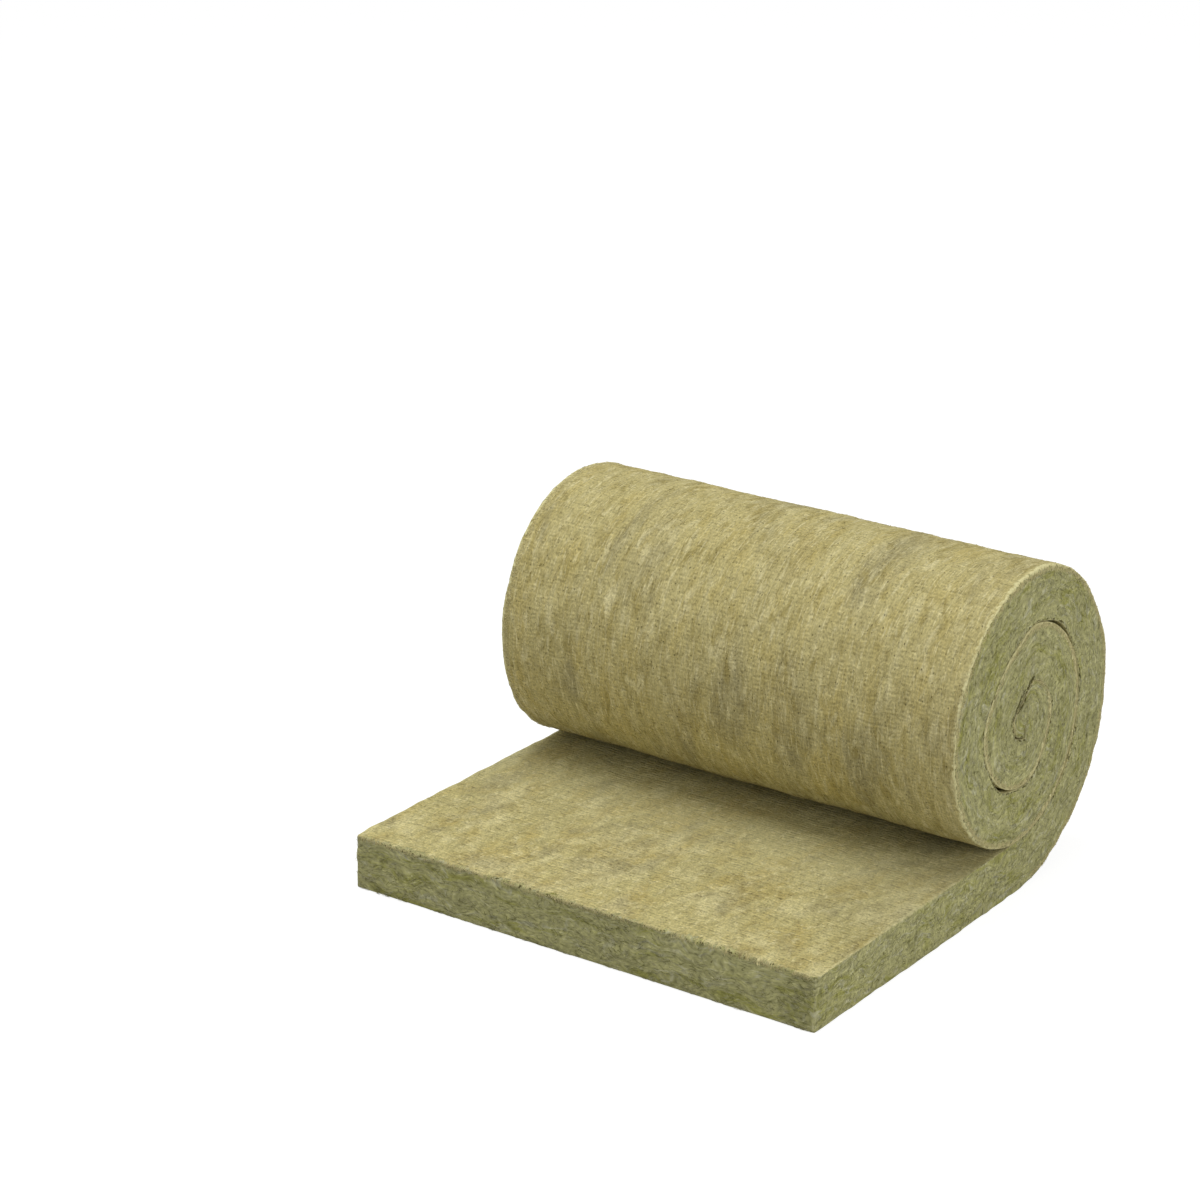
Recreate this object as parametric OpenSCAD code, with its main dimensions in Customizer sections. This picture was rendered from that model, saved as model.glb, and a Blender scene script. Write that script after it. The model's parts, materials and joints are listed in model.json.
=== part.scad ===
// Insulation roll: one stone-wool mat, rolled up from one end, with its other end laid out flat.
// The mat's section is carried along a straight run and then round half turns that get smaller by
// half a pitch each, about two centres that stand one above the other, so every joint is tangent.

/* [Mat] */
// Width of the mat, along the roll's axis, in mm
mat_width = 1000; // [400:10:1250]
// Thickness of the mat, in mm
mat_thickness = 105; // [60:5:200]
// Rounding of the mat's long edges, in mm
edge_radius = 5; // [1:0.5:10]

/* [Roll] */
// Outer diameter of the rolled end, in mm
roll_diameter = 640; // [440:10:1000]
// Open seam between one turn and the next, in mm
seam_gap = 3; // [1:0.5:10]
// Smallest half turn that the wool makes at the core, in mm
core_radius = 25; // [15:1:45]

/* [Laid-out end] */
// Length that lies flat, from the cut end to where the roll leaves the floor, in mm
laid_length = 720; // [350:10:3000]

/* [Hidden] */
$fn = 128;
wool_olive = "#B3A871";

roll_radius = roll_diameter / 2;
half_width = mat_width / 2;
pitch = mat_thickness + seam_gap;
half_turns = 1 + floor((roll_radius - core_radius) / (pitch / 2));

// The two centres of the half turns: odd turns at the back, even turns at the front.
back_centre = roll_radius;
front_centre = roll_radius + pitch / 2;

// The origin is under the middle of the object, on the floor.
front_reach = max(laid_length, turn_radius(2));
roll_y = (front_reach - roll_radius) / 2;

// Outer radius of a half turn, counted inwards from the laid-out end.
function turn_radius(turn) = roll_radius - (turn - 1) * pitch / 2;

// Inner radius of a half turn. A turn tighter than the mat is thick folds shut on its own centre.
function turn_bore(turn) =
    let (bore = turn_radius(turn) - mat_thickness)
    bore > 2 * edge_radius ? bore : 0;

// Section of the mat between two radii, with its long edges rounded.
// X is the distance from the turn's centre and Y runs across the mat's width.
// A section that folds shut at its inner side has no edges to round there.
module mat_section(inner, outer, folded = false) {
    inner_round = folded ? 0 : edge_radius;
    straight_width = mat_width - 2 * edge_radius;
    translate([inner, -straight_width / 2])
        square([outer - inner, straight_width]);
    translate([inner + inner_round, -half_width])
        square([outer - inner - inner_round - edge_radius, mat_width]);
    for (side = [-1, 1]) {
        translate([outer - edge_radius, side * straight_width / 2])
            circle(edge_radius);
        if (!folded)
            translate([inner + edge_radius, side * straight_width / 2])
                circle(edge_radius);
    }
}

// One half turn of the mat, from floor side to top side, at the back or the front of the roll.
module half_turn(turn) {
    at_back = turn % 2 == 1;
    bore = turn_bore(turn);
    translate([0, roll_y, at_back ? back_centre : front_centre])
        mirror([0, at_back ? 0 : 1, 0])
            rotate([0, 90, 0])
                rotate_extrude(angle = 180)
                    mat_section(bore, turn_radius(turn), folded = bore == 0);
}

// The stretch that lies flat on the floor, up to the first half turn.
module laid_run() {
    translate([0, roll_y, mat_thickness])
        rotate([90, 90, 0])
            linear_extrude(laid_length)
                mat_section(0, mat_thickness);
}

module stone_wool_mat() {
    color(wool_olive) {
        laid_run();
        for (turn = [1 : half_turns])
            half_turn(turn);
    }
}

stone_wool_mat();
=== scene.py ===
"""Looks of the insulation roll: a stone-wool mat, partly rolled up, with its other end laid out flat.

The mat is one closed surface: the outline of its section, carried along the path that its solid follows.
Loose fibres lie on it and stand out from its edges, as thin closed spindles in a few joined meshes.
Lengths are in metres, apart from names that end in _mm.
"""

import itertools
import json
import logging
from dataclasses import dataclass
from enum import Enum

import bmesh
import bpy
import numpy as np
from mathutils import Matrix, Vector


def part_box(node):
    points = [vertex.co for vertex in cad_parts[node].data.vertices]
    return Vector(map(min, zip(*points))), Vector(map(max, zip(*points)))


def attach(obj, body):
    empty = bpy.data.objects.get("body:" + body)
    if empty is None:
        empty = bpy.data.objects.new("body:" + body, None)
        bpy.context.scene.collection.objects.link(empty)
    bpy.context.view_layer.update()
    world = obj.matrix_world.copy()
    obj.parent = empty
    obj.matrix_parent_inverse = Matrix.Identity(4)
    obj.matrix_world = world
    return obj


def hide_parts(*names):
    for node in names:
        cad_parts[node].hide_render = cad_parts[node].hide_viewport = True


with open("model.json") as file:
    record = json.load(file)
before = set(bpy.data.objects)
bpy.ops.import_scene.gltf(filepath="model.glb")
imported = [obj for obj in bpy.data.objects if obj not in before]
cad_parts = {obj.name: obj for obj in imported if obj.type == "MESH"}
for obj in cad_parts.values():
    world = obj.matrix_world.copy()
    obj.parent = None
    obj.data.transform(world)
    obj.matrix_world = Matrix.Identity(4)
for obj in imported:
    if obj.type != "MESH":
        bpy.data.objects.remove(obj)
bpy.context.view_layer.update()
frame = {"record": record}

log = logging.getLogger("insulation_roll")

Tree = bpy.types.NodeTree
Socket = bpy.types.NodeSocket
Colour = Socket | tuple[float, float, float, float]

MM = 0.001
SOLID_SEAM = 3 * MM
BAKE_MARGIN = 0.002
MAT_NODE = "stone_wool_mat"
BODY = "root"
PLACE = "mat_place"
DEPTH = "face_depth"
REACH = "skin_reach"
MARK = "seam_mark"
HASH_PRIMES = np.array([73856093, 19349663, 83492791], np.uint32)
HASH_MIXES = np.array([0x7FEB352D, 0x846CA68B], np.uint32)
HASH_SEED = 2654435761

# Settings that several nodes share.
ADD, SUBTRACT, MULTIPLY, MULTIPLY_ADD, MAXIMUM, SINE, SCALE = [
    {"operation": name}
    for name in ("ADD", "SUBTRACT", "MULTIPLY", "MULTIPLY_ADD", "MAXIMUM", "SINE", "SCALE")
]
SMOOTH = {"interpolation_type": "SMOOTHSTEP"}
COLOURS = {"data_type": "RGBA"}
NUMBERS = {"data_type": "FLOAT"}


def to_linear(colour: str) -> tuple[float, float, float, float]:
    """Turns an sRGB hex colour into linear red, green, blue and an alpha of 1.

    Args:
        colour: Such as "#B9AE79".

    Returns:
        The four numbers that a colour socket takes.
    """
    shares = np.array([int(colour[i:i + 2], 16) for i in (1, 3, 5)]) / 255
    linear = np.where(shares <= 0.04045, shares / 12.92, ((shares + 0.055) / 1.055) ** 2.4)
    return (*linear.tolist(), 1.0)


def add_node(tree: Tree, kind: str, settings: dict, inputs: dict, output: int | str = 0) -> Socket:
    """Adds one node with its settings and what goes into it.

    Args:
        tree: The node tree.
        kind: The node's type name, without "ShaderNode" in front.
        settings: Attributes of the node and their values.
        inputs: Socket names or numbers, each with a value or with a socket to link from.
        output: Name or number of the socket to go on from.

    Returns:
        That output socket.
    """
    node = tree.nodes.new("ShaderNode" + kind)
    for name, value in settings.items():
        setattr(node, name, value)
    for key, value in inputs.items():
        if isinstance(value, Socket):
            tree.links.new(value, node.inputs[key])
        else:
            node.inputs[key].default_value = value
    return node.outputs[output] if len(node.outputs) else None


def new_material(name: str) -> tuple[bpy.types.Material, Tree]:
    """Makes an empty node material.

    Args:
        name: What the real material is.

    Returns:
        The material and its node tree, with no nodes in it.
    """
    material = bpy.data.materials.new(name)
    material.use_nodes = True
    material.node_tree.nodes.clear()
    return material, material.node_tree


def hashed(cells: np.ndarray, seed: int) -> np.ndarray:
    """Spreads whole-number cells evenly over -1 to 1, the same on every run.

    Args:
        cells: Cell numbers, shape (..., 3).
        seed: Number that picks the field.

    Returns:
        One value for each cell.
    """
    key = (cells.astype(np.uint32) * HASH_PRIMES).sum(axis=-1, dtype=np.uint32)
    key = key + np.uint32(seed * HASH_SEED % 2 ** 32)
    key = (key ^ (key >> np.uint32(16))) * HASH_MIXES[0]
    key = (key ^ (key >> np.uint32(15))) * HASH_MIXES[1]
    return (key ^ (key >> np.uint32(16))) / 2.0 ** 31 - 1


def lattice_noise(places: np.ndarray, seed: int) -> np.ndarray:
    """Smooth noise between -1 and 1.

    Every corner of a unit lattice has a hashed value. A point takes the mean of the eight corners round it,
    each weighted by the fade 6t^5 - 15t^4 + 10t^3 along the three axes.

    Args:
        places: Points in lattice units, shape (..., 3).
        seed: Number that picks the field.

    Returns:
        One value for each point.
    """
    cells = np.floor(places).astype(np.int64)
    part = places - cells
    fade = part ** 3 * (part * (part * 6 - 15) + 10)
    total = np.zeros(places.shape[:-1])
    for corner in itertools.product((0, 1), repeat=3):
        weight = np.where(corner, fade, 1 - fade).prod(axis=-1)
        total += weight * hashed(cells + np.array(corner), seed)
    return total


def line_noise(values: np.ndarray, seed: int) -> np.ndarray:
    """Smooth noise between -1 and 1 along one line, in units of its cells."""
    return lattice_noise(np.stack([values, values * 0 + 0.5, values * 0 + 0.5], -1), seed)


def smooth_step(values: np.ndarray, low: float, high: float) -> np.ndarray:
    """Rises from 0 at low to 1 at high by the curve 3t^2 - 2t^3."""
    t = np.clip((values - low) / (high - low), 0, 1)
    return t * t * (3 - 2 * t)


def unit(vectors: np.ndarray) -> np.ndarray:
    """Scales each vector to length 1."""
    return vectors / np.maximum(np.linalg.norm(vectors, axis=-1, keepdims=True), 1e-12)


def mesh_object(name: str, points: np.ndarray, faces: list) -> bpy.types.Object:
    """Makes a smooth-shaded mesh object at the origin.

    Args:
        name: The piece's name.
        points: Vertices, shape (n, 3).
        faces: Vertex numbers of each face.

    Returns:
        The object, linked to the scene.
    """
    mesh = bpy.data.meshes.new(name)
    mesh.from_pydata(points.tolist(), [], faces)
    mesh.polygons.foreach_set("use_smooth", np.ones(len(mesh.polygons), bool))
    piece = bpy.data.objects.new(name, mesh)
    bpy.context.scene.collection.objects.link(piece)
    return piece


def set_attribute(piece: bpy.types.Object, name: str, values: np.ndarray) -> None:
    """Writes one number or one vector for each vertex as a named attribute.

    Args:
        piece: The mesh object.
        name: The attribute's name.
        values: Shape (n,) for numbers or (n, 3) for vectors.
    """
    kind, key = ("FLOAT", "value") if values.ndim == 1 else ("FLOAT_VECTOR", "vector")
    layer = piece.data.attributes.new(name, kind, "POINT")
    layer.data.foreach_set(key, values.astype(np.float32).ravel())


@dataclass(frozen=True)
class Crack:
    """A stretch of seam that stands open, widest in the middle by the square of a cosine."""

    at_deg: float
    reach_deg: float
    width_mm: float

    def along(self, angles: np.ndarray) -> np.ndarray:
        """Width in metres at each angle along the spiral, in radians."""
        share = np.clip((np.degrees(angles) - self.at_deg) / self.reach_deg, -1, 1)
        return self.width_mm * MM * np.cos(share * np.pi / 2) ** 2


@dataclass(frozen=True)
class Lumps:
    """One size of lump in the wool: its cell along, across and through the mat, and its height."""

    cell_mm: tuple[float, float, float]
    height_mm: float
    seed: int

    def at(self, places: np.ndarray) -> np.ndarray:
        """Height in metres at each place in the mat."""
        return self.height_mm * MM * lattice_noise(places / (np.array(self.cell_mm) * MM), self.seed)


# How far the outer face departs from the true round, in mm, at angles along the spiral in degrees.
# The fourth half turn is dented, and the last two are folded flat against each other.
OUT_OF_ROUND = (
    (0, 0), (30, 0), (90, 3), (150, 0), (200, 0), (270, 3), (325, 5), (345, 3), (365, 0), (534, 0), (547, -7),
    (554, -14), (564, -18), (594, -18), (605, -15), (614, -10), (623, -5), (640, 0), (735, 0), (775, -9),
    (795, -8), (825, 0), (880, 0), (892, -3), (900, -17), (910, -21), (920, -24), (952, -26), (975, -22),
    (990, -12), (1007, 5), (1045, 9), (1080, 10),
)

# How the seam outside the mat looks, at angles along the spiral in degrees: 0 with dark dots of painted shade
# here and there, -3 shut and plain, 1 a crease darkened by painted shade. The outermost turn has a few dots,
# and the last insides none.
SEAM_MARKS = (
    (0, -0.6), (345, -0.6), (365, -0.2), (500, -0.2), (520, 0), (838, 0), (850, -3), (878, -3), (890, 1),
    (1000, 1), (1010, 0), (1079, 0), (1081, -3),
)

# How far the outer skin reaches down the ends, in mm, at angles along the spiral in degrees. On the ends this
# skin carries the painted edge highlight. It is wider where the seam's rounded edge faces back, which widens
# that painted highlight there, and it fades out where the core is folded.
SKIN_REACH = (
    (0, 0), (30, 7.5), (340, 7.5), (390, 13), (490, 13), (540, 7.5), (690, 7.5), (740, 13), (832, 13),
    (850, 0),
)


@dataclass(frozen=True)
class MatPath:
    """The path of the mat in the plane across the roll, as Y and Z.

    An angle of 0 is where the roll leaves the floor, and each half turn adds pi. Half turns shrink by half a
    pitch. Odd ones are at the back and even ones at the front, about two centres one above the other.
    """

    width: float
    thickness: float
    roll_radius: float
    front_y: float
    roll_y: float
    half_turns: int = 6
    seam_gap: float = 1.2 * MM
    seam_wave: float = 1.4 * MM
    seam_speckle: float = 4.0 * MM
    cracks: tuple[Crack, ...] = (
        Crack(506, 20, 6.0),
        Crack(688, 25, 6.0),
        Crack(948, 60, 6.0),
        Crack(1042, 18, 4.0),
    )

    @classmethod
    def from_frame(cls) -> "MatPath":
        """Reads the mat's sizes from its solid's box and from the middles of its flat faces.

        Returns:
            The path.
        """
        low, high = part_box(MAT_NODE)
        faces = {mount["name"]: mount["pos_m"] for mount in frame["record"]["mounts"]}
        return cls(
            width=high.x - low.x,
            thickness=2 * faces["cut_end"][2],
            roll_radius=(high.z - low.z) / 2,
            front_y=low.y,
            roll_y=2 * faces["underside"][1] - low.y,
        )

    @property
    def laid_length(self) -> float:
        """Length of the stretch that lies flat."""
        return self.roll_y - self.front_y

    @property
    def pitch(self) -> float:
        """Distance from one turn to the next, at the solid's own seam."""
        return self.thickness + SOLID_SEAM

    @property
    def core_angle(self) -> float:
        """Angle where the last two half turns begin, which have no turn inside them."""
        return (self.half_turns - 2) * np.pi

    def turns(self, angles: np.ndarray) -> np.ndarray:
        """Number of the half turn at each angle, counted inwards from 1."""
        return np.clip(np.floor(angles / np.pi + 1e-9), 0, self.half_turns - 1) + 1

    def outer_radius(self, angles: np.ndarray) -> np.ndarray:
        """Radius of the mat's outer face: the half turn's own, what it is out of round and a slow wave.

        Args:
            angles: Angles along the spiral, in radians.

        Returns:
            Radii about the half turns' own centres.
        """
        radii = self.roll_radius - (self.turns(angles) - 1) * self.pitch / 2
        at_deg, off_mm = np.array(OUT_OF_ROUND).T
        return radii + np.interp(np.degrees(angles), at_deg, off_mm) * MM + self.seam_wave * line_noise(
            angles * 3.1, 11)

    def seam_mark(self, angles: np.ndarray) -> np.ndarray:
        """Mark of the seam outside the mat at each angle, from -3 for shut to 1 for a dark crease."""
        return np.interp(np.degrees(angles), *np.array(SEAM_MARKS).T)

    def seam(self, angles: np.ndarray) -> np.ndarray:
        """Width of the seam outside the mat's outer face: a thin gap, small openings and a few cracks.

        Args:
            angles: Angles along the spiral, in radians.

        Returns:
            Gaps in metres.
        """
        ajar = np.clip(1 + self.seam_mark(angles), 0, 1)
        gaps = self.seam_gap * (0.2 + 0.8 * ajar)
        gaps = gaps + self.seam_speckle * ajar * np.maximum(line_noise(angles * 11.0, 12) - 0.3, 0)
        return gaps + sum(crack.along(angles) for crack in self.cracks)

    def on_turn(self, angles: np.ndarray, radii: np.ndarray) -> np.ndarray:
        """Points at those radii on the half turn of each angle.

        Args:
            angles: Angles along the spiral, in radians.
            radii: Distances from the half turns' centres.

        Returns:
            Y and Z of each point, shape (n, 2).
        """
        turns = self.turns(angles)
        side = np.where(turns % 2 == 1, 1.0, -1.0)
        within = angles - (turns - 1) * np.pi
        centre_z = self.roll_radius + np.where(side > 0, 0.0, self.pitch / 2)
        return np.stack([
            self.roll_y + side * radii * np.sin(within),
            centre_z - side * radii * np.cos(within),
        ], -1)

    def outer_face(self, angles: np.ndarray) -> np.ndarray:
        """Y and Z of the mat's outer face at each angle."""
        return self.on_turn(angles, self.outer_radius(angles))

    def inner_face(self, angles: np.ndarray) -> np.ndarray:
        """Y and Z of the mat's inner face at each angle.

        It keeps a seam's width from the outer face one full turn further in. The last two half turns have no
        turn inside them, so they fold shut on a line that rises from the mat's end to the front centre.

        Args:
            angles: Angles along the spiral, in radians.

        Returns:
            Points, shape (n, 2).
        """
        wrapped_angles = np.minimum(angles, self.core_angle - 1e-6)
        further = wrapped_angles + 2 * np.pi
        wrapped = self.on_turn(wrapped_angles, self.outer_radius(further) + self.seam(further))
        core = self.roll_radius + self.pitch / 2
        rise = np.clip((angles - self.core_angle) / np.pi, 0, 1)[:, None]
        return wrapped + (np.array([self.roll_y, core]) - wrapped) * rise


@dataclass(frozen=True)
class Section:
    """How many points each stretch of the mat's outline has, going once round it."""

    face_points: int = 80
    corner_points: int = 4
    side_points: int = 18

    def outline(self, half_width: np.ndarray, depth: np.ndarray, outer_round: np.ndarray,
                inner_round: np.ndarray) -> tuple[np.ndarray, np.ndarray]:
        """Rounded rectangle: across the outer face, up one side, back along the inner face and down.

        Args:
            half_width: Half of each section's width, shape (n, 1).
            depth: Each section's depth, shape (n, 1).
            outer_round: Radius of the two edges of the outer face, shape (n, 1).
            inner_round: Radius of the two edges of the inner face, shape (n, 1).

        Returns:
            Each point's distance across the mat and depth from the outer face, both of shape (n, points).
        """
        across = np.linspace(-1, 1, self.face_points)
        through = np.linspace(0, 1, self.side_points)
        bend = np.linspace(0, np.pi / 2, self.corner_points + 2)[1:-1]
        sine, cosine = np.sin(bend), np.cos(bend)
        one_face, one_side = np.ones_like(across), np.ones_like(through)
        outer_x, inner_x = half_width - outer_round, half_width - inner_round
        inner_z = depth - inner_round
        straight = inner_z - outer_round
        x = np.hstack([
            outer_x * across, outer_x + outer_round * sine,
            half_width * one_side, inner_x + inner_round * cosine,
            -inner_x * across, -inner_x - inner_round * sine,
            -half_width * one_side, -outer_x - outer_round * cosine,
        ])
        z = np.hstack([
            0 * depth * one_face, outer_round * (1 - cosine),
            outer_round + straight * through, inner_z + inner_round * sine,
            depth * one_face, inner_z + inner_round * cosine,
            outer_round + straight * through[::-1], outer_round * (1 - sine),
        ])
        return x, z


@dataclass(frozen=True)
class Pattern:
    """Cloudy noise whose lumps have a real size along, across and through the mat."""

    size_mm: tuple[float, float, float]
    detail: float = 2.0
    swirl: float = 0.0

    def node(self, tree: Tree, place: Socket) -> Socket:
        """Adds the noise to a node tree.

        Args:
            tree: The material's node tree.
            place: Socket with the place in the mat, in metres.

        Returns:
            The noise's value, about 0.2 to 0.8 with a mean of 0.5.
        """
        scaled = add_node(tree, "VectorMath", MULTIPLY,
                          {0: place, 1: tuple(1 / (size * MM) for size in self.size_mm)})
        return add_node(tree, "TexNoise", {}, {"Vector": scaled, "Scale": 1.0, "Detail": self.detail,
                                               "Roughness": 0.55, "Distortion": self.swirl})


@dataclass(frozen=True)
class Grain:
    """A pattern that makes a surface lighter or darker and raises it."""

    pattern: Pattern
    light: float
    relief_mm: float = 0.0


@dataclass(frozen=True)
class Patch:
    """A pattern whose high parts take another colour, from nothing at low up to a share at high."""

    pattern: Pattern
    low: float
    high: float
    share: float
    colour: str


@dataclass(frozen=True)
class Ribs:
    """Ribs across the mat: a wave along it with each second rib stronger, broken up into dashes."""

    pitch_mm: float
    second: float
    light: float
    relief_mm: float

    def node(self, tree: Tree, place: Socket) -> Socket:
        """Adds the ribs to a node tree.

        Args:
            tree: The material's node tree.
            place: Socket with the place in the mat.

        Returns:
            Socket with about -1 to 1.
        """
        along = add_node(tree, "SeparateXYZ", {}, {0: place})
        warp = Pattern((70, 34, 100), 1.0).node(tree, place)
        warp = add_node(tree, "Math", MULTIPLY, {0: warp, 1: 9.0})
        phase = add_node(tree, "Math", MULTIPLY_ADD,
                         {0: along, 1: 2 * np.pi / (self.pitch_mm * MM), 2: warp})
        wave = add_node(tree, "Math", SINE, {0: phase})
        half_phase = add_node(tree, "Math", MULTIPLY, {0: phase, 1: 0.5})
        half_wave = add_node(tree, "Math", SINE, {0: half_phase})
        both = add_node(tree, "Math", MULTIPLY_ADD, {0: half_wave, 1: self.second, 2: wave})
        dashes = add_node(tree, "MapRange", SMOOTH,
                          {0: Pattern((12, 11, 30), 1.0).node(tree, place), 1: 0.36, 2: 0.64})
        return add_node(tree, "Math", MULTIPLY, {0: both, 1: dashes})


@dataclass(frozen=True)
class WoolSurface:
    """One surface of the wool: its colour, patches in it, its grain, specks over the grain, and ribs."""

    colour: str
    patches: tuple[Patch, ...]
    grains: tuple[Grain, ...]
    specks: tuple[Patch, ...] = ()
    ribs: Ribs | None = None

    def patched(self, tree: Tree, place: Socket, colour: Colour, patches: tuple[Patch, ...]) -> Colour:
        """Lays patches over a colour, one after the other.

        Args:
            tree: The material's node tree.
            place: Socket with the place in the mat.
            colour: The colour under them, as four numbers or a socket.
            patches: The patches.

        Returns:
            Socket with the patched colour, or the colour itself if there are no patches.
        """
        for patch in patches:
            noise = patch.pattern.node(tree, place)
            share = add_node(tree, "MapRange", SMOOTH,
                             {0: noise, 1: patch.low, 2: patch.high, 4: patch.share})
            colour = add_node(tree, "Mix", COLOURS, {0: share, 6: colour, 7: to_linear(patch.colour)}, 2)
        return colour

    def nodes(self, tree: Tree, place: Socket) -> tuple[Socket, Socket]:
        """Adds the surface to a node tree.

        The colour is lit by 1 plus the sum of light x (noise - 0.5) over the grains, and by the ribs.

        Args:
            tree: The material's node tree.
            place: Socket with the place in the mat.

        Returns:
            Sockets with the colour and with the relief in millimetres.
        """
        light: Socket | float = 1 - sum(grain.light for grain in self.grains) / 2
        relief: Socket | float = 0.0
        for grain in self.grains:
            value = grain.pattern.node(tree, place)
            light = add_node(tree, "Math", MULTIPLY_ADD, {0: value, 1: grain.light, 2: light})
            if grain.relief_mm:
                relief = add_node(tree, "Math", MULTIPLY_ADD, {0: value, 1: grain.relief_mm, 2: relief})
        if self.ribs:
            value = self.ribs.node(tree, place)
            light = add_node(tree, "Math", MULTIPLY_ADD, {0: value, 1: self.ribs.light, 2: light})
            relief = add_node(tree, "Math", MULTIPLY_ADD, {0: value, 1: self.ribs.relief_mm, 2: relief})
        colour = self.patched(tree, place, to_linear(self.colour), self.patches)
        colour = add_node(tree, "VectorMath", SCALE, {0: colour, 3: light})
        return self.patched(tree, place, colour, self.specks), relief


@dataclass(frozen=True)
class WoolFinish:
    """Stone wool: spun rock fibre bound into a mat.

    Its two faces are skins of felted fibre, straw yellow, streaked along the mat and ribbed across it by the
    belts that it was cured between. Its cut edges show the layers inside, greener and greyer, with pits.
    The fibres are a few thousandths of a millimetre thick, so the grain is drawn as tufts of 3 mm and more.

    Besides the three surfaces, there is painted light and shade: a pale grey painted light on the laid skin
    by the roll, a painted highlight along the rounded edges of the faces, another on the upright corners of
    the cut end, and painted shade in the seams and the crease.
    """

    skin: WoolSurface = WoolSurface(
        colour="#BBB07A",
        patches=(
            Patch(Pattern((130, 55, 300), 2.0, 0.4), 0.46, 0.70, 0.50, "#BAA966"),
            Patch(Pattern((230, 95, 400), 3.0, 0.6), 0.49, 0.72, 0.62, "#8C8566"),
            Patch(Pattern((58, 28, 60), 3.0, 0.7), 0.46, 0.73, 0.74, "#97894F"),
            Patch(Pattern((42, 18, 40), 3.0, 0.6), 0.48, 0.75, 0.64, "#D9D0A0"),
            Patch(Pattern((34, 3.6, 30), 1.0, 0.4), 0.57, 0.72, 0.50, "#DCD3A4"),
        ),
        grains=(
            Grain(Pattern((50, 8, 60), 2.0, 0.4), 0.36, 0.6),
            Grain(Pattern((11, 9, 20), 2.0, 0.4), 0.56, 1.1),
            Grain(Pattern((4.2, 3.6, 5), 1.0), 0.95, 1.3),
        ),
        specks=(Patch(Pattern((4.8, 4.0, 5), 0.0), 0.74, 0.82, 0.75, "#4B472B"),),
        ribs=Ribs(6.4, 0.6, 0.10, 0.27),
    )
    laid: WoolSurface = WoolSurface(
        colour="#B8AE78",
        patches=(
            Patch(Pattern((170, 70, 300), 3.0, 0.5), 0.43, 0.68, 0.70, "#AD9C5D"),
            Patch(Pattern((100, 62, 300), 3.0, 0.4), 0.46, 0.70, 0.68, "#D1C895"),
            Patch(Pattern((120, 70, 300), 3.0, 0.4), 0.50, 0.72, 0.54, "#928A66"),
            Patch(Pattern((17, 12, 30), 2.0, 0.6), 0.53, 0.72, 0.52, "#D6CD9C"),
        ),
        grains=(
            Grain(Pattern((26, 17, 20), 2.0, 0.5), 0.56, 1.2),
            Grain(Pattern((11, 7, 20), 2.0, 0.4), 0.82, 1.3),
            Grain(Pattern((3.8, 3.6, 5), 1.0), 1.10, 1.3),
        ),
        specks=(Patch(Pattern((4.8, 4.0, 5), 0.0), 0.76, 0.84, 0.6, "#5A5535"),),
        ribs=Ribs(9.4, 0.7, 0.14, 0.46),
    )
    edge: WoolSurface = WoolSurface(
        colour="#ABA875",
        patches=(
            Patch(Pattern((110, 110, 26), 3.0, 0.8), 0.49, 0.69, 0.70, "#8F8E42"),
            Patch(Pattern((34, 46, 14), 2.0, 1.2), 0.53, 0.70, 0.66, "#B9B799"),
            Patch(Pattern((26, 26, 4.4), 2.0, 0.9), 0.57, 0.72, 0.48, "#CDC9A0"),
        ),
        grains=(
            Grain(Pattern((60, 60, 9), 2.0, 0.8), 0.95, 1.4),
            Grain(Pattern((15, 34, 13), 2.0, 1.5), 1.15, 2.3),
            Grain(Pattern((4.4, 9, 4.6), 1.0, 0.5), 1.10, 1.3),
        ),
        # The dark specks on the cut edges are painted shade in the pits of the wool.
        specks=(Patch(Pattern((7, 12, 5.0), 1.0, 0.9), 0.69, 0.79, 0.66, "#45432A"),),
    )
    # Painted light and shade: pale grey by the roll, highlights on the edges and corners, and shade in the
    # seams.
    painted_nip_light: str = "#D1CFA7"
    rim_highlight: str = "#E6E0AA"
    corner: str = "#C6C298"
    gap: str = "#48431F"
    rim_mm: float = 6.0
    inner_skin_mm: float = 1.8
    fringe_mm: float = 9.0
    tear_mm: float = 20.0
    layer_wave_mm: float = 22.0

    def material(self, mat: "Mat") -> bpy.types.Material:
        """Builds the mat's material, from the place of each point in the mat.

        Args:
            mat: The mat that it dresses.

        Returns:
            The material.
        """
        material, tree = new_material("felted stone wool")
        place = add_node(tree, "Attribute", {"attribute_name": PLACE}, {}, "Vector")
        depth = add_node(tree, "Attribute", {"attribute_name": DEPTH}, {}, "Fac")
        reach = add_node(tree, "Attribute", {"attribute_name": REACH}, {}, "Fac")
        along, across, through = [add_node(tree, "SeparateXYZ", {}, {0: place}, k) for k in range(3)]
        inner = add_node(tree, "Math", {"operation": "GREATER_THAN"},
                         {0: through, 1: mat.path.thickness / 2})
        from_middle = add_node(tree, "Math", {"operation": "ABSOLUTE"}, {0: across})
        ragged = Pattern((8, 6, 30), 2.0).node(tree, place)
        ragged = add_node(tree, "MapRange", {}, {0: ragged, 1: 0.3, 2: 0.7})
        half_width = mat.path.width / 2
        skin, skin_relief = self.skin_nodes(tree, place, along, across, inner)
        edge, edge_relief = self.edge_nodes(tree, place, depth)
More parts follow.
